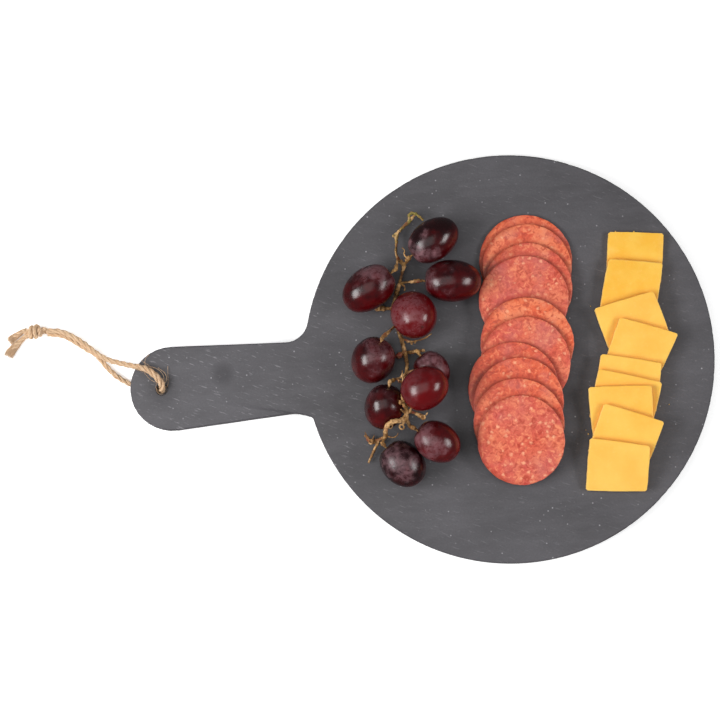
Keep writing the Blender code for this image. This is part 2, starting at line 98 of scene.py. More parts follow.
def paint(code):
    """A colour from its hex code, as the shader wants it."""
    parts = [int(code[i:i + 2], 16) / 255 for i in (1, 3, 5)]
    return (*[c / 12.92 if c <= 0.04045 else ((c + 0.055) / 1.055) ** 2.4 for c in parts], 1.0)


def new_finish(name, roughness=0.5, **sockets):
    """A material and its tree; the sockets' names have _ for a space."""
    finish = bpy.data.materials.new(name)
    finish.use_nodes = True
    shader = finish.node_tree.nodes["Principled BSDF"]
    shader.inputs["Roughness"].default_value = roughness
    for socket, value in sockets.items():
        shader.inputs[socket.replace("_", " ")].default_value = value
    return finish, finish.node_tree, shader


def add_node(tree, kind, inputs=(), **settings):
    """One shader node, each of its inputs set to a value or joined to a socket."""
    item = tree.nodes.new("ShaderNode" + kind)
    for setting, value in settings.items():
        setattr(item, setting, value)
    for socket, value in dict(inputs).items():
        if isinstance(value, bpy.types.NodeSocket):
            tree.links.new(value, item.inputs[socket])
        else:
            item.inputs[socket].default_value = value
    return item


def speckle(tree, place, scale, detail=3.0, rough=0.5, **more):
    """A soft random pattern; a larger scale makes it finer."""
    inputs = {"Vector": place, "Scale": scale, "Detail": detail, "Roughness": rough, **more}
    return add_node(tree, "TexNoise", inputs).outputs["Fac"]


def remap(tree, value, low, high, to_low=0.0, to_high=1.0):
    """Stretches a value from one range to another, held at the ends."""
    inputs = {"Value": value, "From Min": low, "From Max": high, "To Min": to_low, "To Max": to_high}
    return add_node(tree, "MapRange", inputs).outputs["Result"]


def sum_of(tree, operation, first, second=0.5):
    return add_node(tree, "Math", {0: first, 1: second}, operation=operation).outputs["Value"]


def blend_of(tree, share, first, second, mode="MIX"):
    """Two colours mixed; the share of the second may be a value or a socket."""
    inputs = {0: share, 6: first, 7: second}
    return add_node(tree, "Mix", inputs, data_type="RGBA", blend_type=mode).outputs[2]


def stretched(tree, vector, scale, turn=(0.0, 0.0, 0.0)):
    inputs = {"Vector": vector, "Scale": scale, "Rotation": turn}
    return add_node(tree, "Mapping", inputs).outputs["Vector"]


def raise_relief(tree, shader, height, depth, strength=1.0):
    """Turns a height from 0 to 1 into relief of that depth in metres."""
    bump = add_node(tree, "Bump", {"Height": height, "Distance": depth, "Strength": strength})
    tree.links.new(bump.outputs["Normal"], shader.inputs["Normal"])


jute, tree, shader = new_finish("jute", 0.88, Specular_IOR_Level=0.25)
strand = add_node(tree, "Attribute", attribute_name="strand").outputs["Vector"]
fibres = speckle(tree, stretched(tree, strand, (3.2, 3.2, 1.5)), 2.2, 5.0, 0.62)
patches = speckle(tree, stretched(tree, strand, (0.5, 0.5, 0.55)), 1.6, 2.0)
colour = blend_of(tree, remap(tree, fibres, 0.36, 0.66), paint("#B48C62"), paint("#F4DABC"))
colour = blend_of(tree, remap(tree, patches, 0.44, 0.70, 0.0, 0.55), colour, paint("#D2A67E"))
colour = blend_of(tree, remap(tree, fibres, 0.30, 0.40, 0.65, 0.0), colour, paint("#8A5E38"))
tree.links.new(colour, shader.inputs["Base Color"])
raise_relief(tree, shader, fibres, 0.0003, 0.8)


def smooth_route(route, spacing):
    """Evenly spaced points on a smooth curve through a route's own points."""
    knots = np.array([2 * np.array(route[0]) - route[1], *route, 2 * np.array(route[-1]) - route[-2]])
    fine = []
    for p0, p1, p2, p3 in zip(knots, knots[1:], knots[2:], knots[3:]):
        for t in np.linspace(0, 1, 12, endpoint=False):
            fine.append(0.5 * (2 * p1 + (p2 - p0) * t + (2 * p0 - 5 * p1 + 4 * p2 - p3) * t ** 2
                               + (3 * p1 - p0 - 3 * p2 + p3) * t ** 3))
    fine = np.array([*fine, knots[-2]])
    walked = np.concatenate([[0], np.cumsum(np.linalg.norm(np.diff(fine, axis=0), axis=1))])
    stops = np.linspace(0, walked[-1], max(2, round(walked[-1] / spacing)) + 1)
    return np.stack([np.interp(stops, walked, fine[:, axis]) for axis in range(3)], axis=1)


def line_length(line):
    return float(np.linalg.norm(np.diff(line, axis=0), axis=1).sum())


def side_frames(line):
    """Two directions square to a line at each point, carried along it without twist."""
    along = np.gradient(line, axis=0)
    along /= np.linalg.norm(along, axis=1)[:, None]
    side = np.zeros_like(line)
    side[0] = np.cross(along[0], (0.31, 0.17, 0.94))
    side[0] /= np.linalg.norm(side[0])
    for i in range(1, len(line)):
        kept = side[i - 1] - along[i] * (side[i - 1] @ along[i])
        side[i] = kept / np.linalg.norm(kept)
    return side, np.cross(along, side)


class Yarn:
    """Gathers round strands, in millimetres, and makes them one piece."""

    def __init__(self, seed):
        self.dice = np.random.default_rng(seed)
        self.points = []
        self.faces = []
        self.strand = []

    def add_round(self, line, radius, sides, key):
        """A tube with pointed ends; the key tells its fibres from its neighbours'."""
        side, up = side_frames(line)
        angle = np.linspace(0, 2 * np.pi, sides, endpoint=False)
        radius = np.broadcast_to(np.asarray(radius, float).reshape(-1, 1), (len(line), sides))
        swell = 1 + 0.07 * np.sin(5 * angle[None, :] + key * 3.0 + 0.9 * np.arange(len(line))[:, None])
        radius = radius * (swell if sides > 5 else 1.0)
        ring = (side[:, None, :] * np.cos(angle)[None, :, None]
                + up[:, None, :] * np.sin(angle)[None, :, None])
        skin = line[:, None, :] + ring * radius[:, :, None]
        walked = np.concatenate([[0], np.cumsum(np.linalg.norm(np.diff(line, axis=0), axis=1))]) / 10
        start = len(self.points)
        self.points += [tuple(p) for p in skin.reshape(-1, 3)]
        self.points += [tuple(line[0]), tuple(line[-1])]
        for s in walked:
            self.strand += [(math.cos(a) + 4.3 * key, math.sin(a) - 2.1 * key, s) for a in angle]
        self.strand += [(4.3 * key, -2.1 * key, walked[0]), (4.3 * key, -2.1 * key, walked[-1])]
        first, last = len(self.points) - 2, len(self.points) - 1
        for row in range(len(line) - 1):
            low = start + row * sides
            for i in range(sides):
                j = (i + 1) % sides
                self.faces.append((low + i, low + j, low + sides + j, low + sides + i))
        low = start + (len(line) - 1) * sides
        for i in range(sides):
            j = (i + 1) % sides
            self.faces.append((first, start + j, start + i))
            self.faces.append((last, low + i, low + j))

    def add_plies(self, line, spread, radius, pitch, sides=10, key=0.0):
        """Three plies twisted round a line."""
        side, up = side_frames(line)
        walked = np.concatenate([[0], np.cumsum(np.linalg.norm(np.diff(line, axis=0), axis=1))])
        spread = np.broadcast_to(spread, len(line))
        radius = np.broadcast_to(radius, len(line)).copy()
        radius[[0, -1]] *= 0.55
        for ply in range(3):
            angle = 2 * np.pi * (walked / pitch + ply / 3)
            offset = side * np.cos(angle)[:, None] + up * np.sin(angle)[:, None]
            lumps = 1 + 0.06 * np.sin(walked * 1.9 + 2.4 * ply + key)
            self.add_round(line + offset * spread[:, None], radius * lumps, sides, key + ply + 1)

    def add_hairs(self, line, count, reach, length, thick=0.055):
        """Stray fibres that leave the twine at a slant and curl."""
        side, up = side_frames(line)
        along = np.gradient(line, axis=0)
        along /= np.linalg.norm(along, axis=1)[:, None]
        for _hair in range(count):
            i = int(self.dice.integers(1, len(line) - 1))
            angle = self.dice.uniform(0, 2 * np.pi)
            out = side[i] * math.cos(angle) + up[i] * math.sin(angle)
            across = np.cross(along[i], out)
            lead = along[i] * self.dice.choice([-1, 1]) * self.dice.uniform(0.7, 1.0)
            run = self.dice.uniform(0.5, 1.0) * length
            lift = self.dice.uniform(0.15, 1.0) * reach
            curl = self.dice.uniform(-0.5, 0.5) * reach
            steps = np.linspace(0, 1, 6)
            hair = [line[i] + out * (1.25 + lift * math.sin(1.7 * t)) + lead * run * t
                    + across * curl * t * t for t in steps]
            hair = np.array(hair)
            hair[:, 2] = np.maximum(hair[:, 2], 0.1)
            self.add_round(hair, thick * (1.1 - 0.7 * steps), 3, self.dice.uniform(0, 9))

    def make(self, name, *nodes):
        mesh = bpy.data.meshes.new(name)
        mesh.from_pydata([(x * MM, y * MM, max(z, 0.02) * MM) for x, y, z in self.points], [], self.faces)
        marks = mesh.attributes.new("strand", "FLOAT_VECTOR", "POINT")
        marks.data.foreach_set("vector", np.array(self.strand, np.float32).ravel())
        mesh.shade_smooth()
        mesh.materials.append(jute)
        piece = bpy.data.objects.new(name, mesh)
        bpy.context.scene.collection.objects.link(piece)
        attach(piece, "root")
        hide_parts(*nodes)
        return piece


over_line = smooth_route(TWINE_OVER, 0.5)
under_line = smooth_route(TWINE_UNDER, 0.5)
over_walked = np.linspace(0, line_length(over_line), len(over_line))
unlaid = np.exp(-((over_walked - 12.0) / 12.0) ** 2)      # how far the plies have opened

over = Yarn(1)
over.add_plies(over_line, PLY_SPREAD + 0.30 * unlaid, PLY_RADIUS + 0.12 * unlaid, TWINE_PITCH)
over.add_hairs(over_line, 170, 0.7, 3.2)
over.add_hairs(over_line[8:56], 110, 1.5, 5.0)
twine_over = over.make("twine_over_laid", "twine_over")

under = Yarn(2)
under.add_plies(under_line, PLY_SPREAD, PLY_RADIUS, TWINE_PITCH, key=5.0)
under.add_hairs(under_line, 170, 0.7, 3.2)
twine_under = under.make("twine_under_laid", "twine_under")

# The knot: the two strands run through it side by side and are bound by slanted turns.
knot_place = Matrix.Translation(KNOT_CENTRE) @ Matrix.Rotation(KNOT_TURN, 4, "Z")
knot = Yarn(3)


def in_knot(points):
    return np.array([tuple(knot_place @ Vector(point)) for point in points])


turns = []
for t in np.linspace(0, 1, 40):
    angle = 2 * math.pi * (2.7 * t + 0.15)
    plump = 0.72 + 0.36 * math.sin(math.pi * t)
    turns.append((
        3.4 - 7.0 * t + 0.5 * math.cos(angle + 0.9),
        2.75 * plump * math.cos(angle),
        2.35 * plump * math.sin(angle),
    ))
knot.add_plies(smooth_route(in_knot(turns), 0.45), 0.60, 0.72, 7.0, key=11.0)
for shift, key in ((0.9, 15.0), (-0.9, 19.0)):
    core = [
        (6.6, -1.3 + 0.6 * shift, 0.9 * shift - 0.5), (4.0, -0.6 + 0.8 * shift, 0.5 * shift),
        (0.0, shift, 0.0), (-4.0, 0.4 + 1.2 * shift, -0.3), (-6.4, 0.3 + 1.7 * shift, -0.9),
    ]
    knot.add_plies(smooth_route(in_knot(core), 0.45), 0.62, 0.74, 7.0, key=key)
knot.add_hairs(smooth_route(in_knot(turns), 0.45), 70, 0.7, 3.0)
twine_knot = knot.make("twine_knot_tied", "twine_knot")


def brush_tail(name, node, route, seed, fan):
    """A cut tail: short plies that open into a brush of fibres."""
    tail = Yarn(seed)
    line = smooth_route(route, 0.45)
    open_up = np.linspace(0, 1, len(line)) ** 1.4
    keep = int(len(line) * 0.72)
    spread = 0.66 + 0.8 * open_up[:keep]
    thickness = 0.74 - 0.25 * open_up[:keep]
    tail.add_plies(line[:keep], spread, thickness, 10.0, key=seed * 3.0)
    side, up = side_frames(line)
    for _fibre in range(230):
        first = int(tail.dice.integers(0, int(len(line) * 0.5)))
        last = int(tail.dice.integers(int(len(line) * 0.72), len(line)))
        angle = tail.dice.uniform(0, 2 * np.pi)
        reach = math.sqrt(tail.dice.uniform(0, 1))
        picks = np.linspace(first, last, 9).astype(int)
        wave = tail.dice.uniform(-0.35, 0.35, 2)
        fibre = []
        for step, i in enumerate(picks):
            wide = (0.9 + fan * open_up[i]) * reach
            flat = (0.9 + 0.35 * fan * open_up[i]) * reach
            sway = wave * math.sin(step * 0.8)
            across = wide * math.cos(angle) + sway[0]
            upward = flat * math.sin(angle) + sway[1]
            fibre.append(line[i] + side[i] * across + up[i] * upward)
        fibre = np.array(fibre)
        fibre[:, 2] = np.maximum(fibre[:, 2], 0.12)
        tail.add_round(fibre, 0.17 * np.linspace(1.0, 0.45, len(fibre)), 4, tail.dice.uniform(0, 9))
    return tail.make(name, node)


tail_long = brush_tail("twine_tail_long", "twine_end_long", TWINE_END_LONG, 4, 2.2)
tail_short = brush_tail("twine_tail_short", "twine_end_short", TWINE_END_SHORT, 5, 1.9)

# A few long fibres that have sprung loose at the hole.
HOLE_FIBRES = (
    ((-142.9, 1.0, 10.6), (-141.8, 2.7, 10.6), (-141.4, 7.7, 11.2), (-141.1, 12.8, 10.8)),
    ((-145.0, 3.4, 13.4), (-143.4, 6.4, 14.2), (-145.2, 10.0, 13.8), (-149.0, 12.6, 13.2),
     (-152.0, 13.4, 12.6)),
    ((-144.4, 2.4, 12.4), (-142.2, 4.4, 13.4), (-142.6, 8.4, 13.6), (-146.4, 12.2, 12.9)),
    ((-148.4, 8.6, 14.0), (-150.6, 13.0, 12.8), (-154.6, 16.4, 11.8), (-156.6, 18.6, 11.2)),
    ((-150.6, 9.4, 13.6), (-153.4, 14.2, 12.6), (-153.0, 18.0, 11.6), (-150.8, 20.2, 10.9)),
    ((-146.0, 5.0, 13.8), (-148.8, 4.4, 12.8), (-151.6, 6.4, 11.9), (-154.4, 10.2, 11.6)),
    ((-147.6, -0.6, 10.4), (-148.6, 1.4, 11.2), (-148.0, 4.4, 12.2), (-149.2, 7.4, 12.8)),
    ((-144.2, -1.6, 10.4), (-146.2, -2.6, 10.8), (-148.0, -1.4, 10.9), (-148.4, 0.6, 11.2)),
)
sprung = Yarn(6)
for number, route in enumerate(HOLE_FIBRES):
    sprung.add_round(smooth_route(route, 0.6), 0.10, 4, number * 1.3)
sprung_fibres = sprung.make("twine_hole_fibres")


# ---------------------------------------------------------------- slate board
# A sawn sheet of slate, 6 mm thick, with a handle and a drilled hole. Its rim is broken
# back by hand into fine chips, and its oiled face keeps faint scratches and dust.
DISC_CENTRE = Vector((49.05, 0.0))
DISC_RADIUS = 114.3
SLATE_TOP = 10.0
SLATE_MIDDLE = 7.0
CHIP_DEPTH = 0.32
HOLE_CENTRE = Vector((-145.55, 0.0))
HOLE_REACH = 6.0              # what lies nearer than this to its centre is the hole's own wall


def select_only(piece):
    bpy.ops.object.select_all(action="DESELECT")
    piece.select_set(True)
    bpy.context.view_layer.objects.active = piece


def solid_copy(node, name):
    """A merged copy of a CAD solid, from which the finished piece is worked."""
    piece = bpy.data.objects.new(name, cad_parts[node].data.copy())
    bpy.context.scene.collection.objects.link(piece)
    piece.data.name = name
    piece.data.materials.clear()
    select_only(piece)
    bpy.ops.object.mode_set(mode="EDIT")
    bpy.ops.mesh.select_all(action="SELECT")
    bpy.ops.mesh.remove_doubles(threshold=1e-6)
    bpy.ops.object.mode_set(mode="OBJECT")
    return piece


def finish_piece(piece, material, slot, *nodes, angle=None):
    """Gives a piece its material, smooth shading and place on the board."""
    select_only(piece)
    if angle is None:
        bpy.ops.object.shade_smooth()
    else:
        bpy.ops.object.shade_smooth_by_angle(angle=math.radians(angle))
    piece.data.materials.clear()
    piece.data.materials.append(material)
    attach(piece, "root")
    if nodes:
        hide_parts(*nodes)
    return piece


def read_points(piece):
    points = np.empty(len(piece.data.vertices) * 3)
    piece.data.vertices.foreach_get("co", points)
    return points.reshape(-1, 3) / MM


def read_normals(piece):
    normals = np.empty(len(piece.data.vertices) * 3)
    piece.data.vertices.foreach_get("normal", normals)
    return normals.reshape(-1, 3)


def write_points(piece, points):
    piece.data.vertices.foreach_set("co", (points * MM).ravel())
    piece.data.update()


def write_mark(piece, name, values):
    """Stores one number for each point, for the material to read."""
    mark = piece.data.attributes.new(name, "FLOAT", "POINT")
    mark.data.foreach_set("value", np.asarray(values, np.float32))


def waves(points, size, seed=0.0):
    """Smooth random heights, about -1 to 1, of waves of one size in millimetres."""
    shift = Vector((seed * 7.31, seed * 3.77, seed * 5.19))
    return np.array([noise.noise(Vector(p) / size + shift) for p in points])


board = solid_copy("slate_board", "slate_board_hewn")
bpy.ops.object.mode_set(mode="EDIT")
bpy.ops.mesh.select_all(action="SELECT")
bpy.ops.mesh.dissolve_limited(angle_limit=math.radians(0.5))
bpy.ops.mesh.select_all(action="DESELECT")
bpy.ops.object.mode_set(mode="OBJECT")
for face in board.data.polygons:
    centre = face.center / MM
    face.select = abs(face.normal.z) < 0.95 and (centre.xy - HOLE_CENTRE).length > HOLE_REACH
bpy.ops.object.mode_set(mode="EDIT")
bpy.ops.mesh.select_mode(type="FACE")
bpy.ops.mesh.subdivide(number_cuts=9)
bpy.ops.object.mode_set(mode="OBJECT")

points = read_points(board)
from_centre = points[:, :2] - np.array(DISC_CENTRE)
distance = np.linalg.norm(from_centre, axis=1)
for true_radius in (DISC_RADIUS, DISC_RADIUS - 0.7):
    sagged = (distance < true_radius) & (distance > true_radius - 0.09)
    pushed_out = from_centre[sagged] * (true_radius / distance[sagged])[:, None]
    points[sagged, :2] = np.array(DISC_CENTRE) + pushed_out
write_points(board, points)
outward = read_normals(board)
outward[:, 2] = 0
outward /= np.maximum(np.linalg.norm(outward, axis=1), 0.2)[:, None]
rim = np.abs(points[:, 2] - SLATE_MIDDLE) < 2.999
rim &= np.linalg.norm(points[:, :2] - np.array(HOLE_CENTRE), axis=1) > HOLE_REACH
low_side = np.clip((-points[:, 1] - 12) / 10, 0, 1) * (points[:, 0] < -66)
flakes = np.clip(waves(points, 3.2, 1.0) - 0.12, 0, 1) * 1.6 + 0.35 * np.abs(waves(points, 0.9, 2.0))
chipped = CHIP_DEPTH * (0.55 + 0.9 * low_side) * flakes
points -= outward * (chipped * rim)[:, None]
write_points(board, points)

slate, tree, shader = new_finish("slate", 0.45, Specular_IOR_Level=0.5)
place = add_node(tree, "TexCoord").outputs["Object"]
clouds = speckle(tree, place, 22.0, 4.0, 0.55)
grain = speckle(tree, place, 900.0, 3.0, 0.6)
cleft = speckle(tree, stretched(tree, place, (40.0, 150.0, 150.0), (0.0, 0.0, 0.35)), 1.0, 6.0, 0.62)
scratch_turn = stretched(tree, place, (1.0, 1.0, 1.0), (0.0, 0.0, 0.42))
scratch_way = stretched(tree, scratch_turn, (150.0, 900.0, 200.0))
scratches = remap(tree, speckle(tree, scratch_way, 1.0, 4.0, 0.6), 0.60, 0.70)
dots = add_node(tree, "TexVoronoi", {"Vector": place, "Scale": 400.0, "Randomness": 1.0})
dust = remap(tree, dots.outputs["Distance"], 0.08, 0.22, 1.0, 0.0)
chosen = add_node(tree, "SeparateColor", {"Color": dots.outputs["Color"]}).outputs["Red"]
dust = sum_of(tree, "MULTIPLY", dust, remap(tree, chosen, 0.86, 0.98))
colour = blend_of(tree, remap(tree, clouds, 0.35, 0.68), paint("#49474A"), paint("#555357"))
colour = blend_of(tree, remap(tree, cleft, 0.40, 0.68, 0.0, 0.35), colour, paint("#646266"))
colour = blend_of(tree, remap(tree, grain, 0.35, 0.65, 0.0, 0.25), colour, paint("#3C3B3F"))
near_handle = remap(tree, add_node(tree, "SeparateXYZ", {0: place}).outputs["X"], -0.10, 0.02, 1.0, 0.35)
scratches = sum_of(tree, "MULTIPLY", scratches, near_handle)
colour = blend_of(tree, sum_of(tree, "MULTIPLY", scratches, 0.42), colour, paint("#A3A1A5"))
colour = blend_of(tree, sum_of(tree, "MULTIPLY", dust, 0.55), colour, paint("#C9C7CC"))
for spot_x, spot_y, spot_size, share in ((-0.1108, 0.0055, 0.008, 0.5), (-0.1455, -0.002, 0.011, 0.4)):
    to_spot = add_node(tree, "VectorMath", {0: place, 1: (spot_x, spot_y, 0.010)}, operation="DISTANCE")
    mask = remap(tree, to_spot.outputs["Value"], spot_size * 0.35, spot_size, share, 0.0)
    colour = blend_of(tree, mask, colour, paint("#2A282C"))
tree.links.new(colour, shader.inputs["Base Color"])
tree.links.new(remap(tree, clouds, 0.3, 0.7, 0.40, 0.50), shader.inputs["Roughness"])
height = sum_of(tree, "ADD", sum_of(tree, "MULTIPLY", cleft, 0.8), sum_of(tree, "MULTIPLY", grain, 0.2))
raise_relief(tree, shader, height, 0.0004, 0.5)
finish_piece(board, slate, "slate", "slate_board", angle=28)


# ---------------------------------------------------------------- feet
# Four stick-on rubber pads under the disc, which keep the slate off the table.
rubber, tree, shader = new_finish("foot rubber", 0.75, Specular_IOR_Level=0.3)
place = add_node(tree, "TexCoord").outputs["Object"]
bloom = speckle(tree, place, 500.0, 4.0)
tree.links.new(blend_of(tree, bloom, paint("#1C1C1D"), paint("#343435")), shader.inputs["Base Color"])
raise_relief(tree, shader, bloom, 0.0001, 0.4)
for number in range(1, 5):
    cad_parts[f"foot_{number}"].data.materials.clear()
    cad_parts[f"foot_{number}"].data.materials.append(rubber)


# ---------------------------------------------------------------- grapes
# Ten dark red table grapes. Each is a plump oval with a dimple where its stalk enters
# and a small scar at the other end, its thin skin dusted with rubbed white bloom.
GRAPE_DIMPLE = 1.0
# centre x, centre y, extra height, length, width, turn, rise, bloom, redness, seed, where the bloom lies
GRAPES = {
    "grape_01": (12.8, 68.2, 0.0, 31.0, 23.2, 211, 0, 1.0, 0.05, 1, (-0.8, -0.55, 0.35)),
    "grape_02": (21.2, 44.4, 0.0, 32.6, 24.0, 175, 4, 0.55, 0.25, 2, (-0.95, 0.2, 0.2)),
    "grape_03": (-25.4, 44.3, 0.0, 32.4, 24.0, 30, 6, 0.65, 0.25, 3, (0.5, 0.75, 0.4)),
    "grape_04": (-1.8, 27.2, 0.0, 29.0, 25.8, 115, -50, 0.45, 1.10, 4, (-0.4, 0.2, 0.9)),
    "grape_05": (-26.6, 4.5, 0.0, 27.0, 24.4, 60, 33, 0.42, 0.35, 5, (0.4, 0.4, 0.8)),
    "grape_06": (5.4, -3.6, 0.0, 22.0, 19.4, 123, 0, 0.80, 0.35, 6, (0.1, 0.8, 0.6)),
    "grape_07": (0.1, -14.6, 16.6, 27.6, 24.0, 205, -12, 0.18, 0.95, 7, (-0.6, 0.5, 0.5)),
    "grape_08": (-22.5, -21.7, 0.0, 26.0, 22.9, 72, 24, 0.22, 0.25, 8, (0.3, 0.9, 0.3)),
    "grape_09": (-15.3, -54.0, 0.0, 28.0, 23.8, 130, 4, 0.66, -0.20, 9, (-0.3, 0.3, 0.9)),
    "grape_10": (4.5, -43.8, 7.4, 27.0, 22.3, 145, 8, 0.65, 0.50, 10, (-0.7, -0.1, 0.7)),
}

grape_skin, tree, shader = new_finish("grape skin", 0.25, Specular_IOR_Level=0.45)
place = add_node(tree, "TexCoord").outputs["Object"]
bloom = add_node(tree, "Attribute", attribute_name="bloom").outputs["Fac"]
redness_and_painted_glow = add_node(tree, "Attribute", attribute_name="redness_and_painted_glow").outputs["Fac"]
scar = add_node(tree, "Attribute", attribute_name="scar").outputs["Fac"]
mottle = speckle(tree, place, 160.0, 3.0, 0.55)
powder = speckle(tree, place, 420.0, 6.0, 0.72, Distortion=0.6)
# each grape's own redness, plus a painted glow that reddens its lower side
red_share = sum_of(tree, "ADD", redness_and_painted_glow, remap(tree, mottle, 0.3, 0.7, -0.25, 0.25))
colour = blend_of(tree, remap(tree, red_share, -0.2, 1.0), paint("#1C0508"), paint("#60070C"))
rubbed = sum_of(tree, "MULTIPLY", bloom, remap(tree, powder, 0.36, 0.60, 0.15, 1.0))
colour = blend_of(tree, sum_of(tree, "MULTIPLY", rubbed, 0.46), colour, paint("#B08088"))
colour = blend_of(tree, scar, colour, paint("#3A1A14"))
tree.links.new(colour, shader.inputs["Base Color"])
tree.links.new(remap(tree, rubbed, 0.0, 0.9, 0.21, 0.52), shader.inputs["Roughness"])
raise_relief(tree, shader, powder, 0.00013, 0.6)


def grape_place(x, y, lift, length, width, turn, rise):
    """A grape's turned frame, resting on the board or raised above it."""
    rise = math.radians(rise)
    half = math.hypot(length / 2 * math.sin(rise), width / 2 * math.cos(rise))
    spin = Euler((0.0, -rise, math.radians(turn))).to_matrix().to_4x4()
    return Matrix.Translation((x, y, SLATE_TOP + 0.3 + half + lift)) @ spin


for name, (x, y, lift, length, width, turn, rise, dusting, red, seed, dusted_side) in GRAPES.items():
    bpy.ops.mesh.primitive_uv_sphere_add(segments=56, ring_count=40, radius=1.0)
    grape = bpy.context.object
    grape.name = name + "_ripe"
    ball = read_points(grape) * MM
    ball = ball[:, [2, 0, 1]]                     # the poles now lie along X
    phi = np.arccos(np.clip(ball[:, 0], -1, 1))
    girth = np.sin(phi) ** 0.92 * (1 + 0.03 * np.cos(phi))
    around = np.arctan2(ball[:, 2], ball[:, 1])
    radius = width / 2 * girth
    dimple = np.where(phi < 1, GRAPE_DIMPLE * np.exp(-(radius / (0.16 * width)) ** 2), 0)
    blossom = np.where(phi > 2, 0.35 * np.exp(-(radius / 0.9) ** 2), 0)
    along = length / 2 * np.cos(phi) - dimple + blossom
    shaped = np.stack([along, radius * np.cos(around), radius * np.sin(around)], axis=1)
    shaped *= (1 + 0.010 * (waves(shaped, 9.0, seed) - 2.6))[:, None]
    place_matrix = np.array(grape_place(x, y, lift, length, width, turn, rise))
    points = shaped @ place_matrix[:3, :3].T + place_matrix[:3, 3]
    write_points(grape, points)
    select_only(grape)
    bpy.ops.object.mode_set(mode="EDIT")
    bpy.ops.mesh.select_all(action="SELECT")
    bpy.ops.mesh.normals_make_consistent(inside=False)
    bpy.ops.object.mode_set(mode="OBJECT")
    outward = read_normals(grape)
    toward = outward @ np.array(Vector(dusted_side).normalized())
    patches = waves(points, 8.0, seed + 20) + 0.6 * waves(points, 3.0, seed + 25)
    cover = dusting * np.clip(2.0 * (toward - 0.42) + 1.4 * patches, 0, 1.0)
    write_mark(grape, "bloom", cover)
    # painted glow: redder on the side facing down and towards the lower right, as if lit through
    painted_glow = outward @ np.array((0.45, -0.75, -0.35))
    write_mark(grape, "redness_and_painted_glow", red + 0.35 * painted_glow + 0.15 * waves(points, 8.0, seed + 40))
    write_mark(grape, "scar", np.where(phi > 2, np.exp(-(radius / 0.75) ** 2), 0))
    finish_piece(grape, grape_skin, "grape", name)


# ---------------------------------------------------------------- grape stem
# The branched stem of the bunch, half woody and half green: swollen joints, the stalks
# that hold the grapes, and the torn rings and brushes left where grapes came off.
# main branches: points as x, y, height above the board and radius
BRANCHES = (
    ((4.2, 84.8, 5.0, 0.7), (0.8, 81.0, 4.8, 1.0), (-5.2, 76.2, 4.6, 0.8), (-7.3, 72.8, 4.6, 1.1),
     (-7.6, 69.5, 4.6, 0.7),
     (-8.3, 64.5, 5.4, 0.7), (-7.7, 60.4, 6.4, 1.2), (-4.8, 56.2, 6.6, 0.9), (-6.4, 51.5, 6.6, 0.8),
     (-8.0, 46.5, 6.6, 1.4), (-11.3, 38.3, 3.6, 1.1)),
    ((-11.3, 38.3, 3.6, 1.1), (-12.6, 33.4, 2.6, 1.2), (-12.2, 25.0, 2.2, 1.0), (-10.0, 16.1, 4.6, 1.2),
     (-8.7, 8.0, 6.6, 1.2), (-8.1, -0.1, 9.6, 1.0), (-9.5, -5.8, 13.0, 1.0)),
    ((-9.5, -5.8, 13.0, 1.0), (-11.4, -13.2, 17.4, 1.0), (-12.1, -20.6, 21.6, 1.1), (-10.8, -25.1, 18.6, 1.2),
     (-11.6, -29.3, 15.6, 1.6)),
    ((-11.6, -29.3, 15.6, 1.6), (-15.1, -30.5, 19.7, 1.3), (-18.4, -30.7, 21.4, 1.4),
     (-21.8, -32.3, 20.0, 1.2), (-23.2, -35.2, 15.6, 1.2), (-23.5, -38.2, 9.4, 1.3)),
    ((-10.8, -25.1, 18.6, 1.0), (-6.4, -26.6, 13.6, 0.9), (-2.2, -29.2, 12.6, 1.4)),
    ((-11.6, -29.3, 15.6, 1.2), (-9.0, -34.8, 12.4, 1.0)),
    ((-23.5, -38.2, 9.4, 1.2), (-27.0, -39.1, 5.4, 0.8), (-31.6, -39.8, 3.6, 1.5), (-34.8, -35.6, 3.0, 0.6)),
    ((-27.0, -39.1, 5.4, 0.8), (-31.0, -45.5, 3.4, 0.9), (-34.3, -51.3, 2.2, 0.6)),
    ((-12.6, 33.4, 2.6, 1.1), (-17.5, 33.6, 2.6, 0.9), (-20.4, 34.1, 2.8, 1.7), (-22.4, 34.2, 3.0, 1.9)),
    ((4.2, 84.8, 5.0, 0.7), (8.5, 81.1, 5.0, 0.5)),
    ((-5.2, 76.2, 4.6, 0.8), (-9.5, 73.2, 4.2, 0.7)),
    ((-8.7, 8.0, 6.6, 1.0), (-12.2, 6.3, 6.6, 1.5), (-12.8, 5.4, 7.0, 1.8)),
)
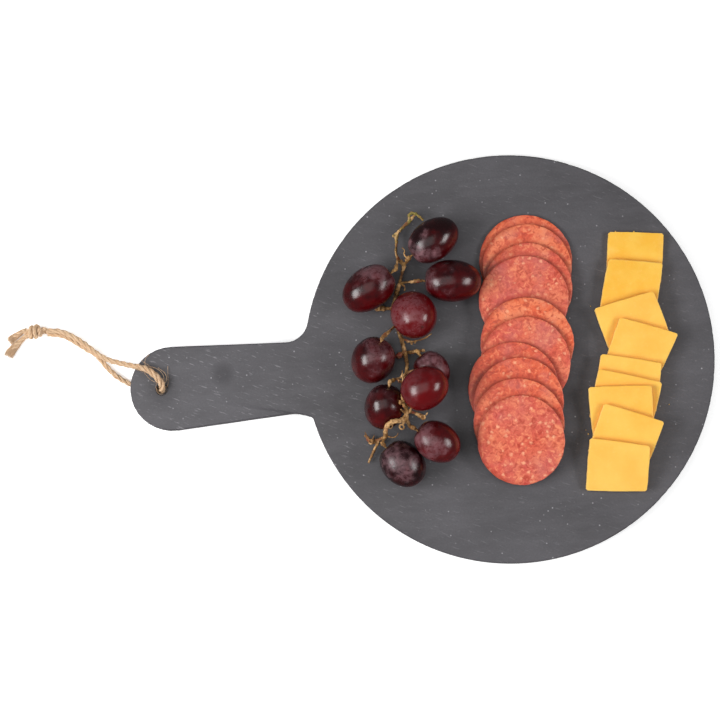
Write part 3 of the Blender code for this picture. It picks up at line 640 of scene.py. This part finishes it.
# twigs and torn wisps
TWIGS = (
    ((-8.0, 46.5, 6.6, 0.6), (-5.4, 44.0, 8.6, 0.45), (-5.8, 41.8, 8.0, 0.4)),
    ((-4.8, 56.2, 6.8, 0.7), (-2.6, 57.8, 8.4, 0.6), (-1.0, 59.4, 8.0, 0.9)),
    ((-4.8, 66.0, 8.6, 0.35), (-3.4, 63.9, 9.0, 0.4), (-4.1, 62.3, 8.4, 0.45), (-2.0, 59.5, 8.0, 0.5)),
    ((-7.7, 60.4, 6.4, 0.7), (-6.2, 57.6, 6.0, 0.5), (-3.6, 55.2, 6.4, 0.6)),
    ((-10.0, 16.1, 4.6, 0.7), (-5.0, 13.6, 5.6, 0.6), (-0.7, 13.8, 6.0, 0.55), (3.2, 14.6, 7.5, 0.5),
     (5.8, 15.9, 9.0, 0.45), (7.2, 16.6, 9.5, 0.3)),
    ((-6.8, 14.5, 5.3, 0.5), (-6.5, 13.0, 6.2, 0.65)),
    ((-4.7, 13.6, 5.5, 0.5), (-4.2, 12.0, 6.2, 0.6)),
    ((-2.8, 13.6, 5.6, 0.4), (-2.4, 12.2, 6.2, 0.6)),
    ((-8.7, 8.0, 6.6, 0.7), (-5.0, 7.2, 6.8, 0.8), (-1.0, 7.6, 6.8, 0.7), (2.6, 8.0, 6.6, 0.9)),
    ((-11.4, -13.2, 17.4, 0.8), (-11.1, -5.2, 18.4, 0.5), (-11.1, -3.2, 19.0, 0.5)),
    ((-11.6, -6.0, 14.4, 0.9), (-8.0, -4.3, 17.0, 0.7), (-4.6, -3.4, 18.0, 0.5)),
    ((-11.4, -9.2, 15.4, 0.8), (-13.7, -8.4, 17.0, 0.8)),
    ((-23.2, -37.4, 10.6, 0.6), (-19.5, -39.0, 12.4, 0.45), (-17.2, -38.1, 13.5, 0.4),
     (-16.2, -36.6, 14.0, 0.3)),
    ((-11.6, -29.3, 15.8, 0.8), (-13.4, -32.4, 17.8, 0.7)),
    ((-31.6, -39.8, 4.0, 0.8), (-33.4, -37.1, 5.0, 0.6), (-34.8, -34.2, 6.0, 0.35)),
    ((-31.6, -39.8, 4.0, 0.8), (-30.2, -37.6, 5.4, 0.5), (-29.4, -36.2, 6.2, 0.3)),
    ((0.8, 81.0, 5.0, 0.9), (1.0, 84.6, 6.2, 0.8), (4.6, 84.4, 6.6, 0.8), (8.5, 80.3, 6.0, 0.5)),
    ((-9.4, -27.0, 17.0, 0.8), (-8.2, -24.0, 20.0, 0.6), (-6.6, -22.4, 21.5, 0.5)),
    ((-12.0, -26.0, 19.0, 0.7), (-13.8, -24.4, 22.4, 0.4)),
    ((-10.8, -24.6, 18.8, 0.8), (-9.6, -21.6, 20.4, 0.5), (-9.9, -19.6, 21.0, 0.35)),
    ((-2.2, -29.2, 12.8, 0.8), (-0.2, -28.2, 14.0, 0.5), (0.8, -26.9, 14.6, 0.35)),
)
# the point each grape's stalk springs from: x, y, height above the board
STALKS = {
    "grape_01": (-4.8, 56.2, 6.6), "grape_02": (-8.0, 46.5, 6.6), "grape_03": (-7.7, 60.4, 6.4),
    "grape_04": (-11.3, 38.3, 3.6), "grape_05": (-12.2, 23.5, 3.4), "grape_06": (-8.7, 8.0, 6.6),
    "grape_07": (-12.1, -20.6, 21.6), "grape_08": (-9.5, -5.8, 13.0), "grape_09": (-23.5, -38.2, 9.4),
    "grape_10": (-9.0, -34.8, 12.4),
}
# torn rings where a grape came off: centre, height, ring radius, thickness, tilt in degrees
RINGS = (
    (-20.3, -32.8, 17.0, 1.25, 0.42, 20, 15),
    (-14.2, -34.0, 18.6, 1.35, 0.48, -15, 30),
    (-31.6, -39.8, 5.6, 1.3, 0.5, -25, -20),
    (-2.0, -29.4, 14.2, 1.2, 0.5, 25, -10),
    (-21.6, 34.1, 4.6, 1.5, 0.55, 10, -25),
)

bark, tree, shader = new_finish("stem bark", 0.62, Specular_IOR_Level=0.3)
place = add_node(tree, "TexCoord").outputs["Object"]
green = add_node(tree, "Attribute", attribute_name="green").outputs["Fac"]
redder = add_node(tree, "Attribute", attribute_name="red").outputs["Fac"]
pale = add_node(tree, "Attribute", attribute_name="pale").outputs["Fac"]
streaks = speckle(tree, place, 700.0, 5.0, 0.65)
stains = speckle(tree, place, 170.0, 3.0, 0.6)
colour = blend_of(tree, remap(tree, stains, 0.36, 0.62), paint("#6E4828"), paint("#B08550"))
colour = blend_of(tree, green, colour, paint("#84803C"))
colour = blend_of(tree, redder, colour, paint("#8A3630"))
colour = blend_of(tree, pale, colour, paint("#DDB07A"))
colour = blend_of(tree, remap(tree, streaks, 0.34, 0.52, 0.65, 0.0), colour, paint("#442818"))
tree.links.new(colour, shader.inputs["Base Color"])
raise_relief(tree, shader, streaks, 0.0002, 0.8)


def add_twig(points):
    """A tapering twig with a swollen end, in millimetres above the board."""
    route = smooth_route([(x, y, SLATE_TOP + height) for x, y, height, _radius in points], 0.5)
    radii = np.interp(np.linspace(0, 1, len(route)), np.linspace(0, 1, len(points)), [p[3] for p in points])
    radii = radii * (1 + 0.12 * np.sin(np.arange(len(route)) * 1.3))
    twig = Yarn(0)
    twig.add_round(route, radii, 8, 0.0)
    mesh = bpy.data.meshes.new("twig")
    mesh.from_pydata([tuple(c * MM for c in p) for p in twig.points], [], twig.faces)
    item = bpy.data.objects.new("twig", mesh)
    bpy.context.scene.collection.objects.link(item)
    return item


extras = [add_twig(points) for points in (*BRANCHES, *TWIGS)]
for name, (from_x, from_y, from_height) in STALKS.items():
    x, y, lift, length, width, turn, rise = GRAPES[name][:7]
    in_grape = grape_place(x, y, lift, length, width, turn, rise)
    socket = in_grape @ Vector((length / 2 - 1.2, 0.0, 0.0))
    neck = in_grape @ Vector((length / 2 + 0.7, 0.0, 0.0))
    throat = in_grape @ Vector((length / 2 + 2.2, 0.0, 0.0))
    stalk = [(from_x, from_y, from_height, 0.75)]
    for point, radius in ((throat, 0.6), (neck, 1.25), (socket, 0.6)):
        stalk.append((point.x, point.y, point.z - SLATE_TOP, radius))
    extras.append(add_twig(stalk))
for x, y, height, ring_radius, thickness, tilt_x, tilt_y in RINGS:
    bpy.ops.mesh.primitive_torus_add(
        major_radius=ring_radius * MM, minor_radius=thickness * MM, major_segments=20, minor_segments=8,
        location=Vector((x, y, SLATE_TOP + height)) * MM,
        rotation=(math.radians(tilt_x), math.radians(tilt_y), 0.0),
    )
    extras.append(bpy.context.object)
stem = extras[0]
select_only(stem)
for extra in extras[1:]:
    extra.select_set(True)
bpy.ops.object.join()
stem.name = "grape_stem_branched"
stem.data.name = "grape_stem_branched"
bpy.ops.object.transform_apply(location=True, rotation=True, scale=True)
remesh = stem.modifiers.new("grown together", "REMESH")
remesh.mode = "VOXEL"
remesh.voxel_size = 0.26 * MM
bpy.ops.object.modifier_apply(modifier=remesh.name)
rounding = stem.modifiers.new("rounding", "SMOOTH")
rounding.factor = 0.6
rounding.iterations = 2
bpy.ops.object.modifier_apply(modifier=rounding.name)
points = read_points(stem)
outward = read_normals(stem)
gnarls = 0.26 * waves(points, 1.3, 3.0) + 0.14 * waves(points, 0.6, 4.0)
points += outward * gnarls[:, None]
write_points(stem, points)
towards_tip = np.clip((points[:, 1] - 62) / 14, 0, 0.85)
write_mark(stem, "green", towards_tip * np.clip(0.6 + waves(points, 5.0, 5.0), 0, 1))
near_lump = np.linalg.norm(points - (-12.6, 5.8, 17.0), axis=1)
reddened = np.clip(waves(points, 4.0, 7.0) * 2.5 - 0.6, 0, 0.7)
write_mark(stem, "red", np.clip(1.4 - near_lump / 3.0, 0, 1) + reddened)
tips = np.clip(waves(points, 3.5, 6.0) * 2.4 - 0.15, 0, 0.8)
hook = np.linalg.norm(points - (-19.0, -31.6, 30.0), axis=1)
write_mark(stem, "pale", np.clip(tips + np.clip(1.2 - hook / 7.0, 0, 0.6), 0, 0.85))
finish_piece(stem, bark, "grape_stem", "grape_stem")


# ---------------------------------------------------------------- salami
# Ten thin slices of a coarse, paprika-red sausage, laid in a row like fallen tiles. Each is
# limp enough to bend over the one below; its fat shows as pale flecks in the lean.
SALAMI_RADIUS = 25.0
# how far the painted shade reaches past the edge of the slice lying on top
PAINTED_SHADE_WIDTH = 2.0
# slice: warmth (0 pink to 1 orange), paleness, share of fat flecks
SALAMI_LOOKS = (
    (0.75, 0.45, 0.25), (0.65, 0.80, 0.35), (0.30, 0.50, 0.35), (0.15, 0.45, 0.60), (0.80, 0.80, 0.30),
    (0.25, 0.35, 0.45), (0.55, 0.00, 0.25), (0.60, 0.20, 0.45), (0.60, 0.30, 0.50), (0.10, 0.45, 0.80),
)

salami_meat, tree, shader = new_finish("salami", 0.42, Specular_IOR_Level=0.45)
place = add_node(tree, "TexCoord").outputs["Object"]
warmth = add_node(tree, "Attribute", attribute_name="warmth").outputs["Fac"]
paleness = add_node(tree, "Attribute", attribute_name="paleness").outputs["Fac"]
fat = add_node(tree, "Attribute", attribute_name="fat").outputs["Fac"]
dark_rim_and_painted_shade = add_node(tree, "Attribute", attribute_name="dark_rim_and_painted_shade").outputs["Fac"]
minced = speckle(tree, place, 420.0, 3.0, 0.55, Distortion=0.8)
broad = speckle(tree, place, 110.0, 3.0, 0.5)
fine = speckle(tree, place, 1400.0, 3.0, 0.6)
colour = blend_of(tree, warmth, paint("#CE5249"), paint("#E56233"))
lighter = sum_of(tree, "MULTIPLY", remap(tree, broad, 0.35, 0.7), paleness)
colour = blend_of(tree, lighter, colour, paint("#F4956A"))
colour = blend_of(tree, remap(tree, minced, 0.34, 0.50, 0.75, 0.0), colour, paint("#AE3A28"))
colour = blend_of(tree, remap(tree, minced, 0.54, 0.70, 0.0, 0.8), colour, paint("#F39468"))
dull = remap(tree, speckle(tree, place, 70.0, 3.0, 0.55), 0.50, 0.68, 0.0, 0.40)
colour = blend_of(tree, dull, colour, paint("#C8736C"))
pushed = add_node(tree, "TexNoise", {"Vector": place, "Scale": 700.0, "Detail": 2.0}).outputs["Color"]
pushed = add_node(tree, "VectorMath", {0: pushed, "Scale": 0.0022}, operation="SCALE").outputs["Vector"]
pushed = add_node(tree, "VectorMath", {0: place, 1: pushed}, operation="ADD").outputs["Vector"]
crumbs = add_node(tree, "TexVoronoi", {"Vector": pushed, "Scale": 380.0, "Randomness": 1.0})
picked = add_node(tree, "SeparateColor", {"Color": crumbs.outputs["Color"]}).outputs["Green"]
limit = sum_of(tree, "SUBTRACT", 1.0, sum_of(tree, "MULTIPLY", fat, 0.32))
picked = sum_of(tree, "GREATER_THAN", picked, limit)
fleck = remap(tree, crumbs.outputs["Distance"], 0.12, 0.48, 1.0, 0.0)
fleck = sum_of(tree, "MULTIPLY", fleck, picked)
colour = blend_of(tree, sum_of(tree, "MULTIPLY", fleck, 0.75), colour, paint("#FAB58C"))
colour = blend_of(tree, remap(tree, fine, 0.60, 0.74, 0.0, 0.35), colour, paint("#FFB592"))
# darker brick red at the left rims, and painted shade where the next slice lies on this one
colour = blend_of(tree, sum_of(tree, "MULTIPLY", dark_rim_and_painted_shade, 0.8), colour, paint("#A23620"))
tree.links.new(colour, shader.inputs["Base Color"])
tree.links.new(remap(tree, minced, 0.3, 0.7, 0.34, 0.52), shader.inputs["Roughness"])
lumps = sum_of(tree, "ADD", sum_of(tree, "MULTIPLY", minced, 0.6), sum_of(tree, "MULTIPLY", fleck, 0.35))
raise_relief(tree, shader, lumps, 0.00035, 0.6)


def crease_and_round(piece, sharpness, crease, levels):
    """Pairs the triangles, keeps the cut edges and rounds the rest."""
    select_only(piece)
    bpy.ops.object.mode_set(mode="EDIT")
    bpy.ops.mesh.select_mode(type="EDGE")
    bpy.ops.mesh.select_all(action="SELECT")
    bpy.ops.mesh.tris_convert_to_quads(face_threshold=math.radians(35), shape_threshold=math.radians(110))
    bpy.ops.mesh.select_all(action="DESELECT")
    bpy.ops.mesh.edges_select_sharp(sharpness=math.radians(sharpness))
    bpy.ops.transform.edge_crease(value=crease)
    bpy.ops.object.mode_set(mode="OBJECT")
    rounding = piece.modifiers.new("rounding", "SUBSURF")
    rounding.levels = levels
    rounding.render_levels = levels
    bpy.ops.object.modifier_apply(modifier=rounding.name)


for number, (warm, light, fatty) in enumerate(SALAMI_LOOKS, 1):
    node = f"salami_{number:02d}"
    salami = solid_copy(node, node + "_cut")
    crease_and_round(salami, 40, 0.8, 3)
    points = read_points(salami)
    outward = read_normals(salami)
    middle = (points.min(axis=0) + points.max(axis=0)) / 2
    offset = points[:, :2] - middle[:2]
    reach = np.linalg.norm(offset, axis=1) / (np.ptp(points[:, 0]) / 2)
    flat = points * (1, 1, 0)
    ragged = 0.22 * waves(flat, 3.5, number) + 0.12 * waves(flat, 1.3, number + 30)
    grow = 1.010 + ragged / SALAMI_RADIUS * np.clip((reach - 0.8) / 0.2, 0, 1)
    points[:, :2] = middle[:2] + offset * grow[:, None]
    points += outward * (0.07 * waves(points, 2.2, number + 60) * (np.abs(outward[:, 2]) > 0.7))[:, None]
    write_points(salami, points)
    tone = waves(points, 14.0, number + 90)
    write_mark(salami, "warmth", np.clip(warm + 0.35 * tone, 0, 1))
    write_mark(salami, "paleness", np.clip(light + 0.5 * waves(points, 9.0, number + 120), 0, 1))
    write_mark(salami, "fat", np.full(len(points), fatty))
    # the left rims curl down and are coloured darker, and each slice carries painted shade, a darker band
    # where the next one lies on it
    left_side = np.clip(0.30 - 0.7 * offset[:, 0] / SALAMI_RADIUS, 0, 1)
    rim_and_painted_shade = np.clip((reach - 0.90) / 0.09, 0, 1) * left_side
    if number < 10:
        above = read_points(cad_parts[f"salami_{number + 1:02d}"])
        above_middle = (above.min(axis=0) + above.max(axis=0)) / 2
        beyond = np.linalg.norm(points[:, :2] - above_middle[:2], axis=1) - np.ptp(above[:, 0]) / 2
        # painted shade: the strength of the darker band beside the next slice
        painted_shade_strength = 0.8 + 0.5 * waves(points, 4.0, number + 150)
        rim_and_painted_shade = np.maximum(rim_and_painted_shade, painted_shade_strength * np.exp(-(np.maximum(beyond, 0) / PAINTED_SHADE_WIDTH) ** 2))
    write_mark(salami, "dark_rim_and_painted_shade", rim_and_painted_shade)
    finish_piece(salami, salami_meat, "salami", node, angle=50)


# ---------------------------------------------------------------- cheese
# Nine cracker-cut slices of firm yellow cheddar, laid in a ragged row. The knife has left
# crisp edges, a few of them chipped, and the cut sides carry a painted highlight that makes them paler.
cheddar, tree, shader = new_finish(
    "cheddar", 0.48, Specular_IOR_Level=0.4, Subsurface_Weight=0.12, Subsurface_Scale=0.004,
)
shader.inputs["Subsurface Radius"].default_value = (1.0, 0.55, 0.18)
place = add_node(tree, "TexCoord").outputs["Object"]
edge = add_node(tree, "Attribute", attribute_name="edge").outputs["Fac"]
smear = speckle(tree, place, 75.0, 3.0, 0.5)
curd = speckle(tree, place, 650.0, 4.0, 0.6)
colour = blend_of(tree, remap(tree, smear, 0.35, 0.68), paint("#F8B93A"), paint("#FBC64E"))
colour = blend_of(tree, remap(tree, curd, 0.55, 0.75, 0.0, 0.25), colour, paint("#FFD377"))
# painted shade: a darker orange band where the slice above lies on this one
shade = add_node(tree, "Attribute", attribute_name="shade").outputs["Fac"]
colour = blend_of(tree, sum_of(tree, "MULTIPLY", shade, 0.60), colour, paint("#E8962A"))
# painted highlight: faces that turn sideways are paler, standing in for the side lamps' light
colour = blend_of(tree, sum_of(tree, "MULTIPLY", edge, 0.50), colour, paint("#FFD48A"))
tree.links.new(colour, shader.inputs["Base Color"])
tree.links.new(remap(tree, curd, 0.3, 0.7, 0.40, 0.56), shader.inputs["Roughness"])
raise_relief(tree, shader, sum_of(tree, "ADD", curd, sum_of(tree, "MULTIPLY", smear, 1.5)), 0.00012, 0.5)

# worked from the top slice down, so that each gets painted shade where the one before it lies on it
BATCH = 500                   # points measured at a time
CONTACT_SHADE = 2.4           # how far the painted shade reaches from the slice above
for number in range(9, 0, -1):
    node = f"cheese_{number:02d}"
    cheese = solid_copy(node, node + "_cut")
    crease_and_round(cheese, 30, 1.0, 3)
    nip = cheese.modifiers.new("knife edge", "BEVEL")
    nip.width = 0.28 * MM
    nip.segments = 2
    nip.limit_method = "ANGLE"
    nip.angle_limit = math.radians(40)
    bpy.ops.object.modifier_apply(modifier=nip.name)
    points = read_points(cheese)
    outward = read_normals(cheese)
    flat = points * (1, 1, 0)
    uneven = 0.16 * waves(flat, 4.5, number) + 0.07 * waves(flat, 1.4, number + 30)
    sideways = np.hypot(outward[:, 0], outward[:, 1])
    points[:, :2] += outward[:, :2] * (uneven * (sideways > 0.3))[:, None]
    points[:, 2] += outward[:, 2] * 0.05 * waves(points, 5.0, number + 60)
    write_points(cheese, points)
    # painted highlight on the cut sides, strongest where a face turns sideways
    write_mark(cheese, "edge", np.clip(sideways * 1.4, 0, 1))
    shade = np.zeros(len(points))
    if number < 9:
        for start in range(0, len(points), BATCH):
            some = points[start:start + BATCH, None, :2]
            nearest = np.linalg.norm(some - slice_above[None, :, :2], axis=2).min(axis=1)
            shade[start:start + BATCH] = np.exp(-(nearest / CONTACT_SHADE) ** 2)
    slice_above = points
    write_mark(cheese, "shade", shade)
    finish_piece(cheese, cheddar, "cheddar", node, angle=35)

# Crumbs of cheddar that broke off under the knife: x, y, height above the board, size
CRUMBS = (
    (88.7, -46.3, 0.5, 0.8), (114.8, 65.0, 1.5, 0.7), (125.1, 63.9, 1.5, 0.8),
    (87.6, -44.0, 0.4, 0.45), (134.9, -34.0, 0.4, 0.5), (97.0, 24.6, 0.4, 0.45),
)
dice = np.random.default_rng(8)
crumb_parts = []
for x, y, height, size in CRUMBS:
    bpy.ops.mesh.primitive_ico_sphere_add(subdivisions=2, radius=size / 2 * MM,
                                          location=Vector((x, y, SLATE_TOP + height)) * MM)
    crumb = bpy.context.object
    bpy.ops.object.transform_apply(location=True, rotation=True, scale=True)
    points = read_points(crumb)
    middle = points.mean(axis=0)
    points = middle + (points - middle) * (1 + 0.45 * waves(points, size * 0.5, x)[:, None])
    points[:, 2] = middle[2] + (points[:, 2] - middle[2]) * dice.uniform(0.6, 0.9)
    write_points(crumb, points)
    crumb_parts.append(crumb)
select_only(crumb_parts[0])
for crumb in crumb_parts[1:]:
    crumb.select_set(True)
bpy.ops.object.join()
cheese_crumbs = bpy.context.object
cheese_crumbs.name = "cheese_crumbs"
# the crumbs get the same painted highlight all over
write_mark(cheese_crumbs, "edge", np.full(len(cheese_crumbs.data.vertices), 0.6))
write_mark(cheese_crumbs, "shade", np.zeros(len(cheese_crumbs.data.vertices)))
finish_piece(cheese_crumbs, cheddar, "cheddar")


# ---------------------------------------------------------------- floor and light
# A plain white sweep, lit by a tall soft box at each side and a broad, weak panel overhead
# in a nearly dark room. The sweep glows a little, which keeps the shadows on it faint, but
# stays dark under the hole, and it isn't mirrored in the glossy grapes.
bpy.ops.mesh.primitive_plane_add(size=12.0, location=(0.0, 0.0, 0.0))
floor = bpy.context.object
floor.name = "floor"
white, tree, shader = new_finish("floor white", 0.9, Specular_IOR_Level=0.1)
shader.inputs["Base Color"].default_value = (0.93, 0.93, 0.93, 1.0)
shader.inputs["Emission Color"].default_value = (1.0, 1.0, 1.0, 1.0)
under_hole = add_node(tree, "VectorMath", {0: add_node(tree, "TexCoord").outputs["Object"],
                                           1: (-0.1455, 0.0, 0.0)}, operation="DISTANCE").outputs["Value"]
tree.links.new(remap(tree, under_hole, 0.008, 0.013, 0.0, 0.42), shader.inputs["Emission Strength"])
floor.data.materials.append(white)
floor.visible_glossy = False


def add_soft_box(name, place, width, height, power):
    """An area light that faces the middle of the board."""
    lamp = bpy.data.lights.new(name, "AREA")
    lamp.shape = "RECTANGLE"
    lamp.size = width
    lamp.size_y = height
    lamp.energy = power
    item = bpy.data.objects.new(name, lamp)
    item.location = place
    aim = Vector((0.02, 0.0, 0.02)) - Vector(place)
    item.rotation_euler = aim.to_track_quat("-Z", "Y").to_euler()
    bpy.context.scene.collection.objects.link(item)


add_soft_box("soft box left", (-0.78, -0.10, 0.66), 0.64, 0.36, 9.0)
add_soft_box("soft box right", (0.90, -0.16, 0.74), 0.60, 0.34, 6.6)
add_soft_box("panel overhead", (-0.24, -0.02, 0.95), 0.75, 0.90, 2.4)
room = bpy.data.worlds.new("room")
room.use_nodes = True
room.node_tree.nodes["Background"].inputs["Color"].default_value = (1.0, 1.0, 1.0, 1.0)
room.node_tree.nodes["Background"].inputs["Strength"].default_value = 0.12
bpy.context.scene.world = room
bpy.context.scene.view_settings.view_transform = "Standard"
